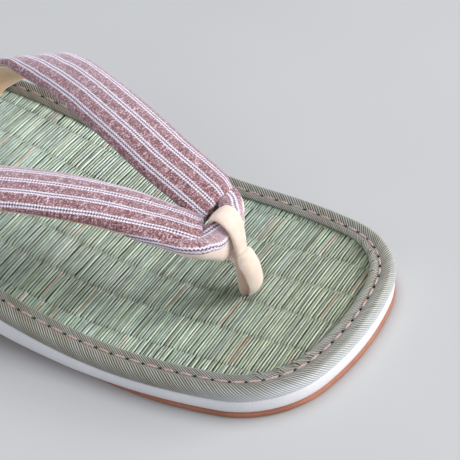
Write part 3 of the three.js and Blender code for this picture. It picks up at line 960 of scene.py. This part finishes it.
def rush_places(rng):
    """Middle, half length and lean of every rush, one row each, cut to the tape's cover."""
    covered = half_width_of(RUSH_COVER_INSET)
    reach = MAT_REACH * TOE_X
    rows = []
    for band in BANDS:
        middle = BAND_EDGE + (band + 0.5) * BAND_WIDTH
        count = int(2 * reach / RUSH_PITCH)
        shift = 0.5 * (band % 2)
        places = np.arange(count) + shift + rng.normal(0, PITCH_SPREAD, count)
        along = -reach - THONG_X + places * RUSH_PITCH
        lean = RUSH_LEAN_BY_BAND * band + rng.normal(0, LEAN_SPREAD, count)
        rows.append(np.stack([along, np.full(count, middle), lean], 1))
    along, middle, lean = np.concatenate(rows).T
    half = (BAND_WIDTH + RUSH_OVERLAP) / 2 + rng.normal(0, LENGTH_SPREAD, len(along))
    steps = np.linspace(-1, 1, RUSH_STEPS)
    across = middle[:, None] + half[:, None] * steps
    run = along[:, None] + np.tan(lean)[:, None] * half[:, None] * steps
    x, y = on_sandal(run, across)
    inside = np.abs(y) <= covered(x)
    keep = inside.sum(1) >= LEAST_STEPS
    first = steps[np.argmax(inside, 1)][keep]
    last = steps[RUSH_STEPS - 1 - np.argmax(inside[:, ::-1], 1)][keep]
    along, middle, lean, half = (v[keep] for v in (along, middle, lean, half))
    centre = (first + last) / 2
    return along + np.tan(lean) * half * centre, middle + half * centre, half * (last - first) / 2, lean


def make_mat():
    rng = np.random.default_rng(WEAVE_SEED)
    verts, faces = rush_template()
    along, across, half, lean = rush_places(rng)
    count = len(along)
    width = RUSH_PITCH * 0.5 * rng.uniform(*WIDTH_RANGE, count)
    height = RUSH_HEIGHT * rng.uniform(*HEIGHT_RANGE, count)
    raised = rng.normal(0, RAISE_SPREAD, count)
    bow = rng.normal(0, BOW_SPREAD, count)
    p, q, h = verts[:, 0], verts[:, 1], verts[:, 2]
    thin = 1 - RUSH_THINNING * np.abs(p) ** 5
    lengthwise = half[:, None] * p
    sideways = width[:, None] * thin * q + np.tan(lean)[:, None] * lengthwise + bow[:, None] * (1 - p**2)
    x, y = on_sandal(along[:, None] + sideways, across[:, None] + lengthwise)
    grid = np.linspace(-MAT_REACH * TOE_X, MAT_REACH * TOE_X, PROFILE_SAMPLES)
    tops = np.interp(x, grid, [mat_top(v) for v in grid])
    lift = (height[:, None] + raised[:, None]) * h * thin - RUSH_DIP * np.abs(p) ** 7
    z = tops - RUSH_HEIGHT + lift + RUSH_LIFT
    points = np.stack([x, y, z], 2).reshape(-1, 3) * MM
    every = (faces[None] + len(verts) * np.arange(count)[:, None, None]).reshape(-1, 4)
    mesh = bpy.data.meshes.new("rush_weave")
    mesh.from_pydata(points.tolist(), [], every.tolist())
    tone = np.clip(rng.normal(TONE_MIDDLE, TONE_SPREAD, count), *TONE_RANGE)
    tone = np.where(rng.random(count) < BROWN_SHARE, 1.0, tone)
    # Each rush's tone, less painted shade towards its ends.
    shade = np.repeat(tone, len(verts)) - END_SHADE * np.tile(np.abs(p) ** 8, count)
    mesh.attributes.new("tone", "FLOAT", "POINT").data.foreach_set("value", np.clip(shade, 0, 1))
    weave = dress("rush_weave", mesh, rush_material())
    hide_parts("rush_mat")


# Binding tape


def section_frames(rows):
    """Distance across the tape from the stitch line, and outward normal (in, up), for each row."""
    spots = np.array([(r["inset"], r["up"]) for r in rows])
    steps = np.linalg.norm(np.diff(spots, axis=0), axis=1)
    across = np.concatenate([[0], np.cumsum(steps)])
    tangents = np.gradient(spots, axis=0)
    normals = np.stack([-tangents[:, 1], tangents[:, 0]], 1)
    normals /= -np.linalg.norm(normals, axis=1)[:, None]
    return (across - across[STITCH_ROW]).tolist(), normals.tolist()


def pucker_height(way, inset):
    """Height of the listed puckers at a place on the tape."""
    total = 0.0
    for row in PUCKERS:
        apart = (way - row["way"] + HALF_WAY) % (2 * HALF_WAY) - HALF_WAY
        reach = (apart / row["length"]) ** 2 + ((inset - row["inset"]) / row["width"]) ** 2
        total += row["height"] * math.exp(-reach)
    return total


def slanted_way(way, across):
    """Way round the outline of a rib's point that lies across the tape from the stitch line."""
    return way + across * (RIB_SLANT_OUTSIDE if across > 0 else RIB_SLANT_INSIDE)


def make_tape():
    ribs = round(2 * HALF_WAY / RIB_PITCH)
    columns = ribs * RIB_COLUMNS
    across, normals = section_frames(TAPE_SECTION)

    def place(station, k):
        row = TAPE_SECTION[k]
        way = slanted_way(2 * HALF_WAY * station / columns, across[k])
        point, outward = outline_at(way)
        rib = math.cos(2 * math.pi * station / RIB_COLUMNS)
        stand = row["rib"] * (RIB_HEIGHT * rib + pucker_height(way, row["inset"]))
        inset = row["inset"] + normals[k][0] * stand
        spot = point - inset * outward
        return Vector((spot.x, spot.y, mat_top(spot.x) + row["up"] + normals[k][1] * stand))

    bm, loops = ringed(columns, len(TAPE_SECTION), place)
    bmesh.ops.bridge_loops(bm, edges=loops[0] + loops[-1])
    write_uv(bm, columns, lambda station, k: (station * RIB_PITCH / RIB_COLUMNS, across[k]))
    tape = piece("binding_tape", bm, tape_material())
    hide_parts("edge_binding")


def make_stitches():
    """Thread dashes on the stitch line, and between them the needle holes, dark with painted shade."""
    count = round(2 * HALF_WAY / STITCH_PITCH)
    row = TAPE_SECTION[STITCH_ROW]
    threads, holes = bmesh.new(), bmesh.new()
    for index in range(count):
        way = 2 * HALF_WAY * index / count
        for bm, (shift, length, wide, tall, rise) in ((threads, THREAD_DASH), (holes, NEEDLE_HOLE)):
            at = way + shift * STITCH_PITCH
            point, outward = outline_at(at)
            spot = point - row["inset"] * outward
            spot.z = mat_top(spot.x) + row["up"] + rise
            ahead = outline_at(at + SLOPE_STEP)[0]
            slope = (mat_top(ahead.x) - mat_top(point.x)) / SLOPE_STEP
            tangent = Vector((-outward.y, outward.x, slope)).normalized()
            basis = Matrix((tangent, outward.cross(tangent).cross(tangent), UP)).transposed().to_4x4()
            form = Matrix.Translation(spot) @ basis @ Matrix.Diagonal((length, wide, tall, 1.0))
            bmesh.ops.create_uvsphere(bm, **STITCH_MESH, matrix=form)
    piece("stitches", threads, thread_material())
    piece("needle_holes", holes, hole_shade_material())


# Straps and thong


def read_row(rows, share):
    """Every column of a table at a share of its length."""
    numbered = [{**row, "index": i} for i, row in enumerate(rows)]
    at = share * (len(rows) - 1)
    return {name: eased(numbered, "index", name, at) for name in rows[0]}


def place_of(row):
    return Vector((THONG_X - row["back"], row["out"], FOREFOOT_HEIGHT + row["up"]))


def run_of(rows, share):
    ahead = place_of(read_row(rows, min(share + SHARE_STEP, 1)))
    behind = place_of(read_row(rows, max(share - SHARE_STEP, 0)))
    return (ahead - behind).normalized()


def strap_section(rows, share):
    """A strap's row, its place, and its across (outwards) and up directions."""
    row = read_row(rows, share)
    run = run_of(rows, share)
    level = run.cross(UP).normalized()
    roll = math.radians(row["roll"])
    across = level * math.cos(roll) + level.cross(run) * math.sin(roll)
    return row, place_of(row), across - row["mitre"] * run, across.cross(run)


def padded_outline(width, crown, belly, sides):
    """Rounded section with a crowned top, as (across, up) pairs from the middle of its underside."""
    spots = []
    for k in range(sides):
        angle = 2 * math.pi * k / sides - math.pi / 2
        across, up = math.cos(angle), math.sin(angle)
        tall = crown if up > 0 else belly
        spots.append((
            width / 2 * math.copysign(abs(across) ** ROUND_ACROSS, across),
            tall * math.copysign(abs(up) ** ROUND_UP, up),
        ))
    return spots


def cloth_across(side, back, outline, low, high):
    """Stripe place of each vertex of a section: its edges are at low and high, seam at the underside."""
    ring = np.array(outline + outline[:1])
    length = np.concatenate([[0], np.cumsum(np.linalg.norm(np.diff(ring, axis=0), axis=1))])
    share = length / length[-1]
    middle, half = (low + high) / 2, (high - low) / 2
    return middle + (0.5 - share) * 4 * half - eased(STRIPE_RUN[side], "back", "shift", back)


def lofted(name, sections, material):
    """Closed tube through sections of (place, across, up, outline, cloth places, way along)."""
    sides = len(sections[0][3])

    def place(station, k):
        spot, across, up, outline = sections[k][:4]
        a, u = outline[station]
        return spot + a * across + u * up

    bm, loops = ringed(sides, len(sections), place)
    for loop in (loops[0], loops[-1]):
        bmesh.ops.contextual_create(bm, geom=loop)
    write_uv(bm, sides, lambda station, k: (sections[k][4][station], sections[k][5]))
    return piece(name, bm, material)


def mirrored(sections, side):
    flip = Vector((1, side, 1))
    return [(p * flip, a * flip, u * flip, *rest) for p, a, u, *rest in sections]


def with_ways(sections):
    """Adds to each section its way along the strap."""
    way = 0.0
    for k, section in enumerate(sections):
        if k:
            way += (section[0] - sections[k - 1][0]).length
        section.append(way)
    return sections


def unstriped(place, across, up, outline):
    """Section of a plain cloth, which needs no cloth places."""
    return place, across, up, outline, [0.0] * (len(outline) + 1), 0.0


def crease_height(side, back, across):
    """Height of the listed creases at a place on a strap's top."""
    total = 0.0
    for row in CREASES[side]:
        reach = ((back - row["back"]) / row["reach_back"]) ** 2
        reach += ((across - row["across"]) / row["reach_across"]) ** 2
        total += row["height"] * math.exp(-reach)
    return total


def creased(side, back, outline):
    """Section with its top lifted by the creases."""
    return [(a, u + crease_height(side, back, a) if u > 0 else u) for a, u in outline]


def trimmed(side, behind):
    """Width of the outer edge that runs on into the neck, at a distance behind the fold."""
    width, reach = FOLD_TRIM[side]
    return width * max(0.0, 1 - behind / reach) ** TRIM_CURVE


def band_sections(side):
    """Sections of a strap: the hollow of its fold, the lip, then the band to its tail."""
    rows = STRAP_FRONT[side] + STRAP
    whole = {"width": 1.0, "crown": 1.0, "belly": 1.0, "back": 0.0}
    shares = [{**whole, "share": share} for share in np.linspace(BAND_FROM, 1, STRAP_STEPS).tolist()]
    sections = []
    for ring in FOLD_RINGS + shares:
        row, place, across, up = strap_section(rows, ring["share"])
        sizes = [row[name] * ring[name] for name in ("width", "crown", "belly")]
        trim = trimmed(side, row["back"] - rows[0]["back"])
        sizes[0] -= trim
        outline = creased(side, row["back"], padded_outline(*sizes, STRAP_SIDES))
        place = place + ring["back"] * run_of(rows, ring["share"]) - trim / 2 * across
        cloth = cloth_across(side, row["back"], outline, -HALF_CLOTH, HALF_CLOTH - trim)
        sections.append([place, across, up, outline, cloth])
    return with_ways(sections)


def neck_sections(side):
    sections = []
    for k in range(NECK_STEPS + 1):
        row, place, across, up = strap_section(NECK[side], k / NECK_STEPS)
        outline = padded_outline(row["width"], row["crown"], row["belly"], STRAP_SIDES)
        cloth = cloth_across(side, row["back"], outline, *NECK_CLOTH[side])
        sections.append([place, across, up, outline, cloth])
    return with_ways(sections)


def neck_pad_sections(side):
    """Soft lining under a neck, deepest where both necks are tied by the thong."""
    sections = []
    for k in range(NECK_STEPS + 1):
        row, place, across, _ = strap_section(NECK[side], k / NECK_STEPS)
        width = row["width"] * NECK_LINING_WIDTH
        level = Vector((across.x, across.y, 0)).normalized()
        outline = padded_outline(width, NECK_LINING_CROWN, row["drop"], STRAP_SIDES)
        sections.append(unstriped(place, level, UP, outline))
    return sections


def lining_sections(side):
    rows = STRAP_FRONT[side] + STRAP
    sections = []
    for k in range(LINING_STEPS + 1):
        row, place, across, up = strap_section(rows, LINING_FROM + LINING_LENGTH * k / LINING_STEPS)
        outline = padded_outline(row["width"] * LINING_WIDTH, LINING_CROWN, LINING_THICKNESS, LINING_SIDES)
        place = place - LINING_DEPTH * row["belly"] * up
        sections.append(unstriped(place, across, up, outline))
    return sections


def make_straps():
    cotton = stripe_material("striped_cotton")
    drawn = stripe_material("neck_cotton_painted_sheen", drawn=True)
    for side, flip in SIDES.items():
        band = lofted(f"strap_{side}", mirrored(band_sections(side), flip), cotton)
        neck = lofted(f"strap_neck_{side}", mirrored(neck_sections(side), flip), drawn)
        for part in (band, neck):
            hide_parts("straps")


def make_linings():
    tan = plain_cloth("lining_cloth", LINING_TONES, sheen=0.3, grain=1600.0)
    cream = plain_cloth("neck_lining_cloth", NECK_LINING_TONES, sheen=0.2, grain=1600.0)
    for side, flip in SIDES.items():
        strip = lofted(f"lining_{side}", mirrored(lining_sections(side), flip), tan)
        pad = lofted(f"neck_lining_{side}", mirrored(neck_pad_sections(side), flip), cream)
        for part in (strip, pad):
            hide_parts(f"strap_lining_{side}")


def thong_section(rows, share, outline_of):
    row = read_row(rows, share)
    up = SIDEWAYS.cross(run_of(rows, share))
    return unstriped(place_of(row), SIDEWAYS, up, outline_of(row))


def make_thong():
    cloth = plain_cloth("thong_cloth", THONG_TONES, sheen=0.35, grain=2200.0, lapped=True)

    def loop_outline(row):
        return padded_outline(row["width"], row["thickness"] / 2, row["thickness"] / 2, LOOP_SIDES)

    turns = [(k + 0.5) / STEM_SIDES for k in range(STEM_SIDES + 1)]

    def stem_outline(row):
        """Round section that steps in at the lap's edge, where the way round starts and ends."""
        spots = []
        for turn in turns[:-1]:
            angle = 2 * math.pi * turn + math.radians(row["lap"])
            groove = math.exp(-((1 - turn) / STEM_GROOVE_REACH) ** 2)
            grow = STEM_LAP * (0.5 - turn) - STEM_GROOVE * groove
            wide, deep = row["wide"] / 2 + grow, row["deep"] / 2 + grow
            spots.append((wide * math.cos(angle), deep * math.sin(angle)))
        return spots

    def stem_section(share):
        return *thong_section(THONG_STEM, share, stem_outline)[:4], turns, 0.0

    loop_sections = [thong_section(THONG_LOOP, k / LOOP_STEPS, loop_outline) for k in range(LOOP_STEPS + 1)]
    stem_sections = [stem_section(k / STEM_STEPS) for k in range(STEM_STEPS + 1)]
    loop = lofted("thong_loop", loop_sections, cloth)
    stem = lofted("thong_stem", stem_sections, cloth)
    for part in (loop, stem):
        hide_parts("front_thong")


# Stage


def make_floor():
    bm = bmesh.new()
    bmesh.ops.create_grid(bm, x_segments=1, y_segments=1, size=FLOOR_REACH)
    mesh = mesh_of("floor", bm)
    mat, tree = new_material("pale_floor", 0.7)
    cloud = noise(tree, object_place(tree), 6.0)
    finish_material(tree, ramp(tree, cloud, FLOOR_TONES))
    mesh.materials.append(mat)
    floor = bpy.data.objects.new("floor", mesh)
    bpy.context.scene.collection.objects.link(floor)


def area_light(name, place, target, size, power, colour):
    data = bpy.data.lights.new(name, "AREA")
    data.shape = "RECTANGLE"
    data.size, data.size_y = size
    data.energy = power
    data.color = colour
    light = bpy.data.objects.new(name, data)
    light.location = place
    light.rotation_euler = (Vector(target) - Vector(place)).to_track_quat("-Z", "Y").to_euler()
    bpy.context.scene.collection.objects.link(light)


def make_lights():
    scene = bpy.context.scene
    world = bpy.data.worlds.new("studio")
    world.use_nodes = True
    background = world.node_tree.nodes["Background"]
    background.inputs["Color"].default_value = SKY_COLOUR
    background.inputs["Strength"].default_value = SKY_STRENGTH
    scene.world = world
    for row in LIGHTS:
        area_light(**row)
    scene.view_settings.view_transform = "Standard"
    scene.view_settings.look = "None"


def make_camera():
    data = bpy.data.cameras.new("camera")
    data.lens = CAMERA_LENS
    data.sensor_width = SENSOR_WIDTH
    data.clip_start, data.clip_end = CAMERA_CLIP
    camera = bpy.data.objects.new("camera", data)
    place = CAMERA_PLACE + Vector((THONG_X, 0, FOREFOOT_HEIGHT))
    level = math.cos(CAMERA_ELEVATION)
    axis = Vector((
        -math.sin(CAMERA_AZIMUTH) * level,
        math.cos(CAMERA_AZIMUTH) * level,
        -math.sin(CAMERA_ELEVATION),
    ))
    turn = axis.to_track_quat("-Z", "Y").to_matrix() @ Matrix.Rotation(-CAMERA_ROLL, 3, "Z")
    camera.matrix_world = Matrix.Translation(place * MM) @ turn.to_4x4()
    bpy.context.scene.collection.objects.link(camera)
    bpy.context.scene.camera = camera


make_camera()
make_sole()
make_mat()
make_tape()
make_stitches()
make_straps()
make_linings()
make_thong()
make_floor()
make_lights()
